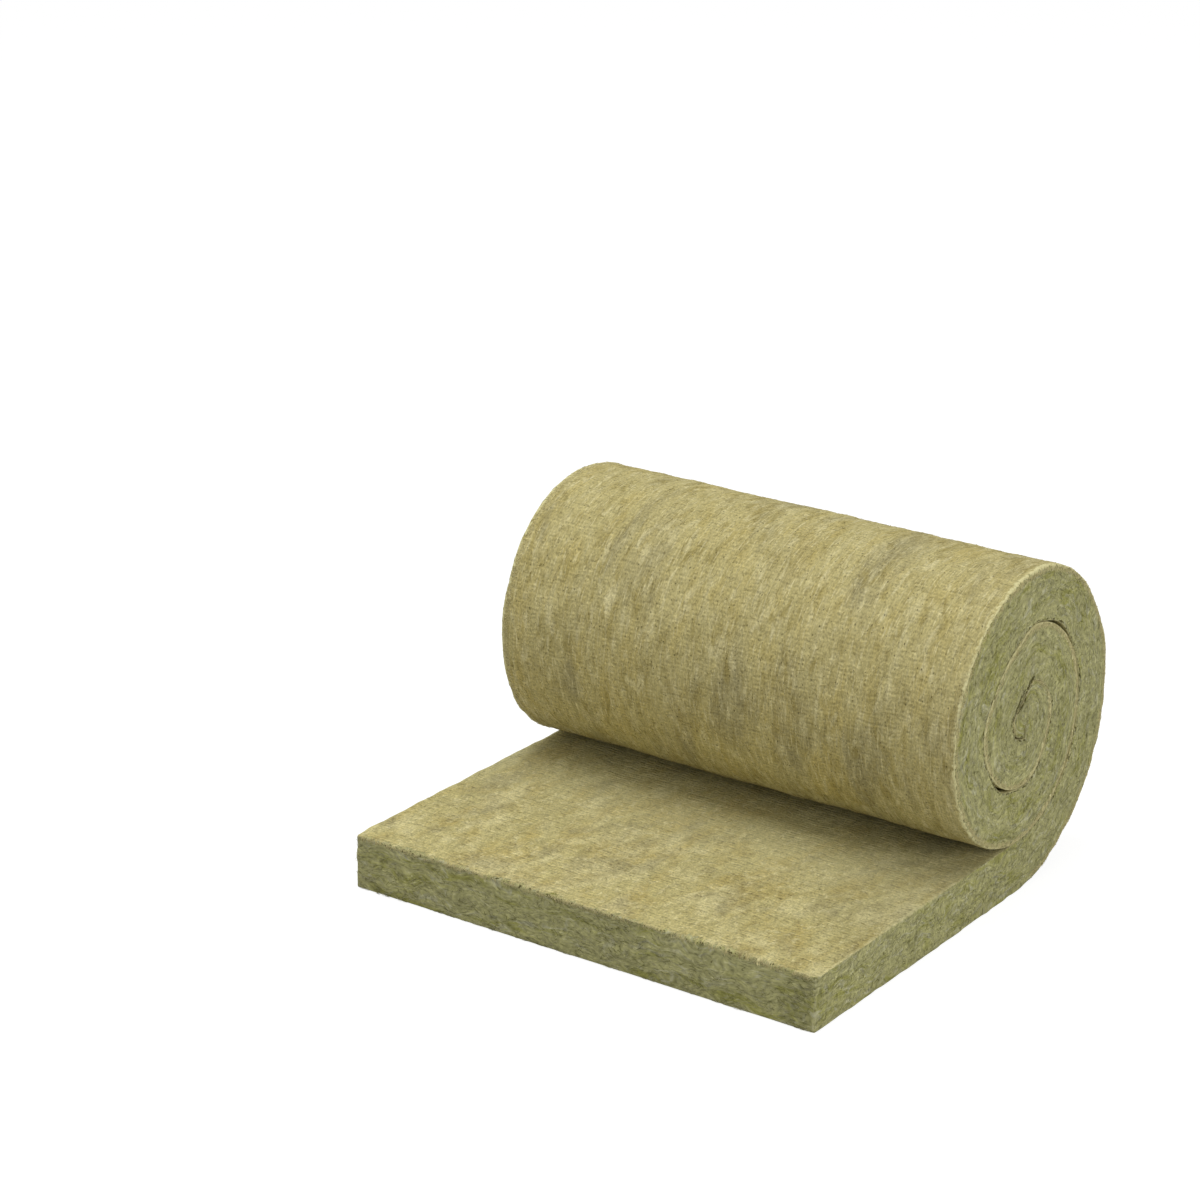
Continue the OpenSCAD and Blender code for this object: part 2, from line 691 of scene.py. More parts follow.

        # Painted highlights: a pale band with a ragged edge along the rounded edges of the faces, weaker on
        # the laid face, and another on the upright corners of the cut end.
        edge_highlight_reach = add_node(tree, "Math", MULTIPLY_ADD,
                          {0: ragged, 1: 2 * self.rim_mm * MM, 2: from_middle})
        share = add_node(tree, "MapRange", {}, {0: inner, 3: 0.8, 4: 0.3})
        rim_highlight = add_node(tree, "MapRange", SMOOTH,
                       {0: edge_highlight_reach, 1: half_width - 2.5 * MM, 2: half_width + 5 * MM, 4: share})
        skin = add_node(tree, "Mix", COLOURS, {0: rim_highlight, 6: skin, 7: to_linear(self.rim_highlight)}, 2)
        corner = add_node(tree, "MapRange", SMOOTH,
                          {0: edge_highlight_reach, 1: half_width + 1 * MM, 2: half_width + 9 * MM, 4: 0.75})
        by_end = add_node(tree, "MapRange", SMOOTH, {0: along, 1: 2 * MM, 2: 8 * MM, 3: 1.0, 4: 0.0})
        corner = add_node(tree, "Math", MULTIPLY, {0: corner, 1: by_end})
        edge = add_node(tree, "Mix", COLOURS, {0: corner, 6: edge, 7: to_linear(self.corner)}, 2)

        # The skin reaches a ragged way down the edges, and the layers inside show below it.
        reach = add_node(tree, "Math", MULTIPLY, {0: reach, 1: ragged})
        inside = add_node(tree, "Math", SUBTRACT, {0: depth, 1: reach})
        inside = add_node(tree, "MapRange", SMOOTH, {0: inside, 1: -0.6 * MM, 2: 0.9 * MM})

        # The top skin is torn back here and there along the cut end.
        nicks, bites = [Pattern((60, size, 60), 2.0).node(tree, place) for size in (4.0, 26)]
        tear = add_node(tree, "Math", ADD, {0: nicks, 1: bites})
        tear = add_node(tree, "Math", MULTIPLY_ADD,
                        {0: tear, 1: 2 * self.tear_mm * MM, 2: -1.85 * self.tear_mm * MM})
        tear = add_node(tree, "Math", SUBTRACT, {0: tear, 1: along})
        torn = add_node(tree, "MapRange", {}, {0: tear, 1: -0.5 * MM, 2: 0.5 * MM})
        torn = add_node(tree, "Math", MULTIPLY, {0: torn, 1: inner})
        inside = add_node(tree, "Math", MAXIMUM, {0: inside, 1: torn})

        colour = add_node(tree, "Mix", COLOURS, {0: inside, 6: skin, 7: edge}, 2)
        relief = add_node(tree, "Mix", NUMBERS, {0: inside, 2: skin_relief, 3: edge_relief})
        bump = add_node(tree, "Bump", {}, {"Strength": 1.0, "Distance": MM, "Height": relief})
        shader = add_node(tree, "BsdfPrincipled", {}, {
            "Base Color": colour, "Roughness": 0.95, "Specular IOR Level": 0.12, "Normal": bump})
        add_node(tree, "OutputMaterial", {}, {"Surface": shader})
        return material

    def skin_nodes(self, tree: Tree, place: Socket, along: Socket, across: Socket,
                   inner: Socket) -> tuple[Socket, Socket]:
        """Adds the skins: the roll's outer one and the laid one.

        The laid skin carries painted light: lighter towards its front, darker towards its far right as a
        painted shadow of the roll, and mixed with a pale grey painted light by the roll that lifts the shade
        and yellow bounce there.

        Args:
            tree: The material's node tree.
            place: Socket with the place in the mat.
            along: Its length along the mat.
            across: Its distance across.
            inner: 1 nearer to the inner face, else 0.

        Returns:
            Sockets with the colour and with the relief in millimetres.
        """
        skin, skin_relief = self.skin.nodes(tree, place)
        laid, laid_relief = self.laid.nodes(tree, place)
        # Painted light on the laid skin: lighter towards its front, and a painted shadow of the roll towards
        # its far right.
        slanted = add_node(tree, "Math", MULTIPLY_ADD, {0: across, 1: 0.12, 2: along})
        painted_front_light = add_node(tree, "MapRange", SMOOTH, {0: slanted, 1: -0.12, 2: 0.38, 3: 1.14, 4: 1.0})
        to_right = add_node(tree, "Math", MULTIPLY_ADD, {0: along, 1: 0.6, 2: across})
        painted_right_shadow = add_node(tree, "MapRange", SMOOTH, {0: to_right, 1: 0.45, 2: 0.62, 3: 1.0, 4: 0.86})
        painted_light_scale = add_node(tree, "Math", MULTIPLY, {0: painted_front_light, 1: painted_right_shadow})
        # Painted light by the roll: a pale grey mixed in near the nip lifts the roll's shade and its yellow
        # bounce.
        nip_light_share = add_node(tree, "MapRange", SMOOTH, {0: along, 1: 0.22, 2: 0.50, 4: 0.22})
        laid = add_node(tree, "Mix", COLOURS, {0: nip_light_share, 6: laid, 7: to_linear(self.painted_nip_light)}, 2)
        laid = add_node(tree, "VectorMath", SCALE, {0: laid, 3: painted_light_scale})
        colour = add_node(tree, "Mix", COLOURS, {0: inner, 6: skin, 7: laid}, 2)
        return colour, add_node(tree, "Mix", NUMBERS, {0: inner, 2: skin_relief, 3: laid_relief})

    def edge_nodes(self, tree: Tree, place: Socket, depth: Socket) -> tuple[Socket, Socket]:
        """Adds the cut edges: wavy layers, with dark dots of painted shade along the seams, and painted shade
        along the crease in the core.

        Args:
            tree: The material's node tree.
            place: Socket with the place in the mat.
            depth: Its depth below the nearer face.

        Returns:
            Sockets with the colour and with the relief in millimetres.
        """
        wave = Pattern((80, 80, 50), 1.0).node(tree, place)
        wave = add_node(tree, "Math", MULTIPLY, {0: wave, 1: 2 * self.layer_wave_mm * MM})
        wave = add_node(tree, "CombineXYZ", {}, {2: wave})
        wavy = add_node(tree, "VectorMath", ADD, {0: place, 1: wave})
        edge, relief = self.edge.nodes(tree, wavy)
        # Painted shade by the seams: dark dots on the edges next to each seam, reaching further in and denser
        # along the crease.
        mark = add_node(tree, "Attribute", {"attribute_name": MARK}, {}, "Fac")
        spot = add_node(tree, "TexCoord", {}, {}, "Object")
        dots = add_node(tree, "Math", MULTIPLY_ADD,
                        {0: mark, 1: 0.09, 2: Pattern((8, 8, 8), 2.0, 0.5).node(tree, spot)})
        dots = add_node(tree, "MapRange", {}, {0: dots, 1: 0.48, 2: 0.56, 4: 0.92})
        width = add_node(tree, "MapRange", {}, {0: mark, 3: 5.5 * MM, 4: 11.0 * MM})
        near = add_node(tree, "Math", SUBTRACT, {0: width, 1: depth})
        near = add_node(tree, "MapRange", {}, {0: near, 1: 0.0, 2: 1.5 * MM})
        dots = add_node(tree, "Math", MULTIPLY, {0: dots, 1: near})
        edge = add_node(tree, "Mix", COLOURS, {0: dots, 6: edge, 7: to_linear(self.gap)}, 2)
        return edge, relief


@dataclass(frozen=True)
class FibreFinish:
    """Loose stone-wool fibre: thin matt strands of one colour."""

    name: str
    colour: str

    def material(self) -> bpy.types.Material:
        """Builds a plain matt material of that colour.

        Returns:
            The material.
        """
        material, tree = new_material(self.name)
        shader = add_node(tree, "BsdfPrincipled", {}, {
            "Base Color": to_linear(self.colour), "Roughness": 0.9, "Specular IOR Level": 0.15})
        add_node(tree, "OutputMaterial", {}, {"Surface": shader})
        return material


@dataclass
class Mat:
    """The stone-wool mat: a grid of sections along its path, with lumps in its surface and a cut end."""

    path: MatPath
    section: Section
    finish: WoolFinish
    laid_stations: int = 76
    turn_stations: tuple[int, ...] = (100, 84, 60, 46, 40, 30)
    front_rounds: tuple[float, float, float] = (7 * MM, 2.5 * MM, 5 * MM)
    top_round: float = 2.5 * MM
    bottom_round: float = 4 * MM
    rim_round: float = 4 * MM
    seam_round: float = 2.2 * MM
    hidden_share: float = 0.12
    cap_rings: int = 9
    lumps: tuple[Lumps, ...] = (
        Lumps((170, 130, 90), 1.8, 1),
        Lumps((55, 45, 26), 0.9, 2),
        Lumps((21, 20, 12), 1.1, 3),
    )

    def __post_init__(self) -> None:
        """Lays out the stations along the mat and works out the surface."""
        path = self.path
        laid = np.linspace(0, path.laid_length, self.laid_stations, endpoint=False)
        laid = np.union1d(laid, np.array([0.25, 0.8, 1.7, 3.0, 5.0]) * MM)
        turned = [np.linspace(turn * np.pi, (turn + 1) * np.pi, count, endpoint=False)
                  for turn, count in enumerate(self.turn_stations)]
        self.angles = np.concatenate([np.zeros_like(laid), *turned, [path.half_turns * np.pi]])
        self.outer, self.inner = path.outer_face(self.angles), path.inner_face(self.angles)
        self.outer[:len(laid), 0] = self.inner[:len(laid), 0] = path.front_y + laid
        middle = (self.outer + self.inner) / 2
        self.lengths = np.concatenate([[0], np.cumsum(np.linalg.norm(np.diff(middle, axis=0), axis=1))])
        self.depth = np.linalg.norm(self.inner - self.outer, axis=1)[:, None]
        self.points, self.places, self.depths = self.surface()
        self.normals = self.outward(self.points)
        outline = self.places[self.laid_stations // 2, :, 1:]
        steps = np.linalg.norm(np.roll(outline, -1, axis=0) - outline, axis=1)
        self.around = np.concatenate([[0], np.cumsum(steps)])

    def outward(self, points: np.ndarray) -> np.ndarray:
        """Outward normals of a grid of points: the cross product of its two directions.

        Args:
            points: Shape (stations, outline points, 3).

        Returns:
            Unit vectors of the same shape.
        """
        along = np.gradient(points, axis=0)
        around = np.roll(points, -1, axis=1) - np.roll(points, 1, axis=1)
        return unit(np.cross(along, around))

    def inset(self, radius: float) -> np.ndarray:
        """How far a rounded edge of the cut end draws each section in: a quarter circle of that radius."""
        from_end = np.clip(1 - self.lengths / radius, 0, 1)[:, None]
        return radius * (1 - np.sqrt(1 - from_end ** 2))

    def surface(self) -> tuple[np.ndarray, np.ndarray, np.ndarray]:
        """The mat's surface: sections between the outer and the inner face, moved along normals by lumps.

        Faces that lie in a seam or on the floor keep only a small share of the lumps.

        Returns:
            Points, places in the mat and depths below the nearer face, for each station and outline point.
        """
        path = self.path
        # Shares from 0 to 1: how far the mat is rolled up, under another turn, and pressed by the roll.
        rolled = smooth_step(self.lengths, path.laid_length - 0.10, path.laid_length + 0.05)[:, None]
        wound = smooth_step(self.angles, 1.85 * np.pi, 2 * np.pi)[:, None]
        nipped = smooth_step(self.lengths, path.laid_length - 0.06, path.laid_length)[:, None]
        outer_round = self.bottom_round + (self.rim_round - self.bottom_round) * rolled
        ajar = [np.clip(1 + path.seam_mark(angles), 0, 1)[:, None]
                for angles in (self.angles, self.angles + 2 * np.pi)]
        outer_seam, inner_seam = [self.seam_round * (0.3 + 0.7 * opened) for opened in ajar]
        outer_round = outer_round + (outer_seam - outer_round) * wound
        inner_round = self.top_round + (inner_seam - self.top_round) * rolled
        half_width = np.full_like(self.depth, path.width / 2)
        x, z = self.section.outline(half_width, self.depth, outer_round, inner_round)
        beside, above, below = [self.inset(radius) for radius in self.front_rounds]
        x = x * (1 - beside / half_width)
        z = below + z * (1 - (above + below) / self.depth)
        share = z / self.depth
        points = np.empty((*x.shape, 3))
        points[..., 0] = x
        points[..., 1:] = self.outer[:, None] + (self.inner - self.outer)[:, None] * share[..., None]
        places = np.stack([np.broadcast_to(self.lengths[:, None], x.shape), x, share * path.thickness], -1)
        normals = self.outward(points)
        pressed = np.where(share < 0.5, np.maximum(wound, 1 - rolled), nipped)
        kept = 1 - (1 - self.hidden_share) * pressed * (1 - np.abs(normals[..., 0]))
        height = sum(lumps.at(places) for lumps in self.lumps) * kept
        points = points + normals * height[..., None]
        points[..., 2] = np.maximum(points[..., 2], 0)
        return points, places, np.minimum(z, self.depth - z)

    def cut_height(self, across: np.ndarray, up: np.ndarray) -> np.ndarray:
        """How far the cut end stands out, at a distance across the mat and a height above the floor."""
        places = np.stack([np.zeros_like(across), across, up], -1)
        return 2 * sum(lumps.at(places) for lumps in self.lumps[1:])

    def cap(self, station: int, rings: int, shown: float) -> tuple[np.ndarray, np.ndarray, np.ndarray]:
        """Closes one end: rings that shrink from the end's outline to the middle line of its section.

        Args:
            station: Number of the end's section, 0 for the cut end or -1 for the end inside the roll.
            rings: How many rings there are inside the outline.
            shown: 1 if the end shows its lumps, and 0 if it is hidden.

        Returns:
            Points, places and depths of the rings, each with one row a ring.
        """
        outline, half_depth = self.points[station], self.depth[station, 0] / 2
        reach = self.path.width / 2 - half_depth
        target = np.empty_like(outline)
        target[:, 0] = np.clip(outline[:, 0], -reach, reach)
        target[:, 1:] = (self.outer[station] + self.inner[station]) / 2
        share = (np.arange(1, rings + 1) / rings)[:, None, None]
        points = outline + (target - outline) * share
        stand = self.cut_height(points[..., 0], points[..., 2]) * (1 - (1 - share[..., 0]) ** 6)
        points[..., 1] -= shown * stand
        middle = np.stack([np.full(len(outline), self.lengths[station]), target[:, 0],
                           np.full(len(outline), self.path.thickness / 2)], -1)
        places = self.places[station] + share * (middle - self.places[station])
        depths = self.depths[station] + share[..., 0] * (half_depth - self.depths[station])
        return points, places, depths

    def build(self) -> bpy.types.Object:
        """Makes the mat's mesh: quads between neighbours on the grid and on the rings of both ends.

        Its map for baking is the grid unrolled: across is the way round the outline, and up is the length,
        with a strip of its own for the rings of each end.

        Returns:
            The mat's object, dressed in its finish.
        """
        front, back = self.cap(0, self.cap_rings, 1.0), self.cap(-1, 2, 0.0)
        points, places, depths = [np.concatenate([front[k][::-1], grid, back[k]])
                                  for k, grid in enumerate((self.points, self.places, self.depths))]
        rows, columns = points.shape[:2]
        numbers = np.arange(rows * columns).reshape(rows, columns)
        beside = np.roll(numbers, -1, axis=1)
        quads = np.stack([numbers[:-1], numbers[1:], beside[1:], beside[:-1]], -1).reshape(-1, 4)
        piece = mesh_object("stone_wool_roll", points.reshape(-1, 3), quads.tolist())
        set_attribute(piece, PLACE, places.reshape(-1, 3))
        set_attribute(piece, DEPTH, depths.ravel())
        reach, mark = self.seam_looks(places)
        set_attribute(piece, REACH, reach.ravel())
        set_attribute(piece, MARK, mark.ravel())
        up = np.concatenate([-0.1 * np.linspace(1, 0, self.cap_rings, endpoint=False), self.lengths,
                             self.lengths[-1] + np.array([0.02, 0.04])])
        up = BAKE_MARGIN + (1 - 2 * BAKE_MARGIN) * (up - up[0]) / (up[-1] - up[0])
        over = BAKE_MARGIN + (1 - 2 * BAKE_MARGIN) * self.around / self.around[-1]
        flat = np.stack(np.broadcast_arrays(over[None, :], up[:, None]), -1)
        corners = np.stack([flat[:-1, :-1], flat[1:, :-1], flat[1:, 1:], flat[:-1, 1:]], axis=2)
        layer = piece.data.uv_layers.new(name="OFBake")
        layer.data.foreach_set("uv", corners.astype(np.float32).ravel())
        self.weld(piece)
        piece.data.materials.append(self.finish.material(self))
        return piece

    def seam_looks(self, places: np.ndarray) -> tuple[np.ndarray, np.ndarray]:
        """How far the skin reaches down the edges, and the mark of the seam beside each point.

        The skin hangs over the top of the cut end, and is too thin to see under the flat stretch.

        Args:
            places: Places in the mat, with one row a section or ring.

        Returns:
            Reach in metres and mark, of shape (rows, outline points).
        """
        finish, lengths = self.finish, places[:, :1, 0]
        turned = np.degrees(np.interp(lengths, self.lengths, self.angles))
        inner = places[..., 2] > self.path.thickness / 2
        outer_reach = np.interp(turned, *np.array(SKIN_REACH).T)
        inner_reach = finish.inner_skin_mm + finish.fringe_mm * (1 - smooth_step(lengths, 2 * MM, 5 * MM))
        mark = self.path.seam_mark(np.radians(turned + 360 * inner))
        flat_mark = np.where(inner & (lengths < 3 * MM), -0.7, -3.0)
        return np.where(inner, inner_reach, outer_reach) * MM, np.where(turned > 0, mark, flat_mark)

    def weld(self, piece: bpy.types.Object) -> None:
        """Merges the points that meet on the middle lines of the two ends.

        Args:
            piece: The mat's object.
        """
        shape = bmesh.new()
        shape.from_mesh(piece.data)
        bmesh.ops.remove_doubles(shape, verts=shape.verts, dist=1e-6)
        shape.to_mesh(piece.data)
        shape.free()

    def surface_at(self, along: np.ndarray, around: np.ndarray) -> tuple[np.ndarray, np.ndarray]:
        """Points and normals of the swept surface, each the weighted mean of the four grid points round it.

        Args:
            along: Length along the mat.
            around: Way round its outline, from the left edge of the outer face.

        Returns:
            Points and unit normals, shape (..., 3).
        """
        rows = np.interp(along, self.lengths, np.arange(len(self.lengths)))
        columns = np.interp(around % self.around[-1], self.around, np.arange(len(self.around)))
        row = np.floor(np.minimum(rows, len(self.lengths) - 1.001)).astype(int)
        column = np.floor(columns).astype(int)
        row_share, column_share = (rows - row)[..., None], (columns - column)[..., None]
        wide = self.points.shape[1]
        left, right = column % wide, (column + 1) % wide
        found = []
        for grid in (self.points, self.normals):
            low = grid[row, left] * (1 - column_share) + grid[row, right] * column_share
            high = grid[row + 1, left] * (1 - column_share) + grid[row + 1, right] * column_share
            found.append(low * (1 - row_share) + high * row_share)
        return found[0], unit(found[1])

    def cut_at(self, across: np.ndarray, up: np.ndarray) -> tuple[np.ndarray, np.ndarray]:
        """Points and normals of the cut end, at distances across the mat and heights above the floor."""
        points = np.stack([across, self.path.front_y - self.cut_height(across, up), up], -1)
        return points, np.broadcast_to(np.array([0.0, -1.0, 0.0]), points.shape)

    def length_at(self, angle: float) -> float:
        """Length along the mat at an angle of the spiral, in degrees."""
        turned = self.angles > 0
        return float(np.interp(np.radians(angle), self.angles[turned], self.lengths[turned]))


class Ground(Enum):
    """What a stretch of fibres lies on."""

    SWEPT = "swept"
    CUT = "cut"
    FRINGE = "fringe"


@dataclass(frozen=True)
class Stretch:
    """A part of the mat that fibres lie on, its share of them, and how many degrees they are turned."""

    ground: Ground
    first: tuple[float, float]
    second: tuple[float, float]
    share: float
    turned_deg: float = 0.0


# Where the four points of a fibre lie: shares of its length along it, and of its bend to the side.
FIBRE_STEPS = np.array([-0.5, -0.17, 0.17, 0.5])
FIBRE_BENDS = np.array([0.0, 0.8, 0.9, 0.0])


@dataclass(frozen=True)
class FibreLayer:
    """Loose fibres of one kind: thin closed spindles that follow the mat's surface.

    A fibre runs through four points. Its first lies just under the surface, its middle ones lie on it or a
    little above, and its last is sunk too or stands free. They are drawn thicker than real fibres.
    """

    name: str
    finish: FibreFinish
    count: int
    length_mm: tuple[float, float]
    thickness_mm: float
    spread_deg: float
    lift_mm: float
    free_share: float
    free_mm: float
    seed: int

    def build(self, mat: Mat, stretches: list[Stretch]) -> bpy.types.Object:
        """Lays the fibres on their stretches and joins them in one mesh.

        Args:
            mat: The mat that carries them.
            stretches: Where they lie.

        Returns:
            The piece, dressed in its finish.
        """
        draw = np.random.default_rng(self.seed)
        total = sum(stretch.share for stretch in stretches)
        counts = [round(self.count * stretch.share / total) for stretch in stretches]
        laid = [self.lines(mat, stretch, number, draw) for stretch, number in zip(stretches, counts)]
        lines, ups = [np.concatenate(parts) for parts in zip(*laid)]
        points, faces = self.spindles(lines, ups)
        piece = mesh_object(self.name, points.reshape(-1, 3), faces)
        piece.data.materials.append(self.finish.material())
        return piece

    def lines(self, mat: Mat, stretch: Stretch, number: int,
              draw: np.random.Generator) -> tuple[np.ndarray, np.ndarray]:
        """Works out the four points of each fibre on one stretch.

        Args:
            mat: The mat that carries them.
            stretch: Where they lie.
            number: How many there are.
            draw: Seeded source of random numbers.

        Returns:
            Points, shape (number, 4, 3), and the surface's normals, shape (number, 3).
        """
        first = draw.uniform(*stretch.first, number)[:, None]
        second = draw.uniform(*stretch.second, number)[:, None]
        lengths = draw.uniform(*self.length_mm, number)[:, None] * MM
        turned = np.radians(stretch.turned_deg + draw.normal(0, self.spread_deg, number))[:, None]
        flip = np.where(draw.uniform(0, 1, number) < 0.5, -1.0, 1.0)[:, None]
        steps = FIBRE_STEPS * lengths * (1.0 if stretch.ground is Ground.FRINGE else flip)
        bend = draw.normal(0, 0.10, number)[:, None] * lengths * FIBRE_BENDS
        first = first + steps * np.cos(turned) - bend * np.sin(turned)
        second = second + steps * np.sin(turned) + bend * np.cos(turned)
        lift = draw.uniform(0.2, 1.0, number)[:, None] * self.lift_mm * MM
        loose = draw.uniform(0, 1, number) < self.free_share
        free = (loose * draw.uniform(0.3, 1.0, number) * self.free_mm * MM)[:, None]
        sunk = -0.6 * self.thickness_mm * MM
        tip = np.where(free > 0, free, sunk)
        heights = np.hstack([np.full_like(lift, sunk), lift, lift + 0.3 * free, tip])
        if stretch.ground is Ground.SWEPT:
            points, normals = mat.surface_at(first, second)
        elif stretch.ground is Ground.CUT:
            edge = mat.path.width / 2 - 2 * MM
            points, normals = mat.cut_at(np.clip(first, -edge, edge),
                                         np.clip(second, 2 * MM, mat.path.thickness - 2 * MM))
        else:
            points, normals = self.fringe(mat, first, second)
        points = points + normals * heights[..., None]
        points[..., 2] = np.maximum(points[..., 2], 0.6 * self.thickness_mm * MM)
        return points, normals[:, 1]

    def fringe(self, mat: Mat, over: np.ndarray, around: np.ndarray) -> tuple[np.ndarray, np.ndarray]:
        """Points and normals of fibres that run off the top of the mat and hang over its cut end.

        Args:
            mat: The mat that carries them.
            over: How far each point is past the cut end's top edge.
            around: Way round the mat's outline.

        Returns:
            Points and unit normals, shape (..., 3).
        """
        points, normals = mat.surface_at(np.maximum(-over, 0.5 * MM), around)
        hung, facing = mat.cut_at(points[..., 0], mat.path.thickness - np.maximum(over, 0))
        past = (over > 0)[..., None]
        return np.where(past, hung, points), np.where(past, facing, normals)

    def spindles(self, lines: np.ndarray, ups: np.ndarray) -> tuple[np.ndarray, list]:
        """Closed spindles: a point at each end and a three-sided ring at each of the two middle points.

        Args:
            lines: Points of the fibres, shape (n, 4, 3).
            ups: Normals of the surface under them, shape (n, 3).

        Returns:
            Vertices, shape (n, 8, 3), and the faces' vertex numbers.
        """
        way = unit(lines[:, 3] - lines[:, 0])
        side = unit(np.cross(way, ups))
        rise = np.cross(side, way)
        turn = np.radians([-30, 90, 210])[None, :, None]
        ring = (np.cos(turn) * side[:, None] + np.sin(turn) * rise[:, None]) * self.thickness_mm * MM / 2
        rings = [lines[:, k:k + 1] + ring for k in (1, 2)]
        points = np.concatenate([lines[:, :1], *rings, lines[:, 3:]], axis=1)
        starts = np.arange(len(lines))[:, None, None] * 8
        fans = [(0, 1 + k, 1 + (k + 1) % 3) for k in range(3)]
        fans += [(7, 4 + (k + 1) % 3, 4 + k) for k in range(3)]
        walls = [(1 + k, 4 + k, 4 + (k + 1) % 3, 1 + (k + 1) % 3) for k in range(3)]
        faces = (starts + np.array(fans)).reshape(-1, 3).tolist()
        faces += (starts + np.array(walls)).reshape(-1, 4).tolist()
        return points, faces


@dataclass(frozen=True)
class PhotoCamera:
    """A camera at the photograph's viewing angle, on a frame of frame_px pixels."""

    azimuth_deg: float = 34.314
    elevation_deg: float = 19.863
    roll_deg: float = 1.112
    distance: float = 5.927
    target: tuple[float, float, float] = (-0.0302, -0.420, 0.6438)
    focal_px: float = 3388.8
    frame_px: float = 1200.0
    sensor_mm: float = 36.0

    def build(self) -> bpy.types.Object:
        """Makes the camera and sets it as the scene's.

        Returns:
            The camera object.
        """
        turn, tilt, roll = np.radians([self.azimuth_deg, self.elevation_deg, self.roll_deg])
        back = np.array([np.sin(turn) * np.cos(tilt), -np.cos(turn) * np.cos(tilt), np.sin(tilt)])
        level = np.array([np.cos(turn), np.sin(turn), 0.0])
        over = np.cross(back, level)
        right = np.cos(roll) * level + np.sin(roll) * over
        up = np.cos(roll) * over - np.sin(roll) * level
        data = bpy.data.cameras.new("photo_camera")
        data.sensor_width = self.sensor_mm
        data.lens = self.focal_px / self.frame_px * self.sensor_mm
        camera = bpy.data.objects.new("photo_camera", data)
        place = np.eye(4)
        place[:3, :4] = np.stack([right, up, back, np.array(self.target) + back * self.distance], 1)
        camera.matrix_world = Matrix(place.tolist())
        bpy.context.scene.collection.objects.link(camera)
        bpy.context.scene.camera = camera
        return camera


@dataclass(frozen=True)
class Lamp:
    """A square soft light that faces the object."""

    name: str
    place: tuple[float, float, float]
    side: float
    level: float

    def build(self, target: np.ndarray) -> bpy.types.Object:
        """Makes the lamp. Its power gives a facing white surface at the target that level, 1 being white.

        Args:
            target: The point that it faces.

        Returns:
            The lamp object.
        """
        away = np.array(self.place) - target
        data = bpy.data.lights.new(self.name, "AREA")
        data.size = self.side
        data.energy = self.level * np.pi ** 2 * float(away @ away)
        lamp = bpy.data.objects.new(self.name, data)
        back = unit(away)
        right = unit(np.cross([0.0, 1.0, 0.0], back))
        place = np.eye(4)
        place[:3, :4] = np.stack([right, np.cross(back, right), back, np.array(self.place)], 1)
        lamp.matrix_world = Matrix(place.tolist())
        bpy.context.scene.collection.objects.link(lamp)
        return lamp


@dataclass(frozen=True)
class Studio:
    """A white floor, soft light from above, and weaker lamps in front and at the right."""

    floor_half: float = 40.0
    floor_bounce: float = 0.62
    floor_shadow: float = 0.30
    floor_glow: float = 0.87
    sky_level: float = 0.40
    lamps: tuple[Lamp, ...] = (
        Lamp("overhead_lamp", (-0.9, -0.4, 5.2), 3.0, 0.52),
        Lamp("front_lamp", (-1.0, -6.5, 2.6), 3.0, 0.07),
        Lamp("right_lamp", (6.0, -0.6, 2.2), 3.0, 0.26),
    )
    target: tuple[float, float, float] = (0.0, 0.0, 0.3)

    def build(self) -> None:
        """Makes the floor, the sky and the lamps."""
        scene = bpy.context.scene
        scene.view_settings.view_transform = "Standard"
        corners = self.floor_half * np.array([[-1, -1, 0], [1, -1, 0], [1, 1, 0], [-1, 1, 0]])
        floor = mesh_object("floor", corners, [(0, 1, 2, 3)])
        floor.data.materials.append(self.floor_material())
        scene.world = bpy.data.worlds.new("studio")
        scene.world.use_nodes = True
        tree = scene.world.node_tree
        tree.nodes.clear()
        level = self.seen(tree, self.sky_level, 1.0)
        sky = add_node(tree, "Background", {}, {"Color": to_linear("#FFFFFF"), "Strength": level})
        add_node(tree, "OutputWorld", {}, {"Surface": sky})
        for lamp in self.lamps:
            lamp.build(np.array(self.target))

    def seen(self, tree: Tree, unseen: float, shown: float) -> Socket:
        """A number that differs for what the camera sees, also in gloss or through glass.

        Args:
            tree: The node tree.
            unseen: The number for all other light.
            shown: The number for what is seen.

        Returns:
            The number's socket.
        """
        rays = ("Is Camera Ray", "Is Glossy Ray", "Is Transmission Ray")
        camera, gloss, glass = [add_node(tree, "LightPath", {}, {}, ray) for ray in rays]
        some = add_node(tree, "Math", MAXIMUM, {0: camera, 1: gloss})
        some = add_node(tree, "Math", MAXIMUM, {0: some, 1: glass})
        return add_node(tree, "MapRange", {}, {0: some, 3: unseen, 4: shown})

    def floor_material(self) -> bpy.types.Material:
        """Matt white floor: it throws light back on the object, and is seen white but for a pale shadow.

        Returns:
            The material.
        """
        material, tree = new_material("matt white studio floor")
        grey = self.seen(tree, self.floor_bounce, self.floor_shadow)
        paint = add_node(tree, "BsdfDiffuse", {}, {"Color": grey})
        glow = add_node(tree, "Emission", {}, {"Color": to_linear("#FFFFFF"),
                                               "Strength": self.seen(tree, 0.0, self.floor_glow)})
        both = add_node(tree, "AddShader", {}, {0: paint, 1: glow})
        add_node(tree, "OutputMaterial", {}, {"Surface": both})
        return material


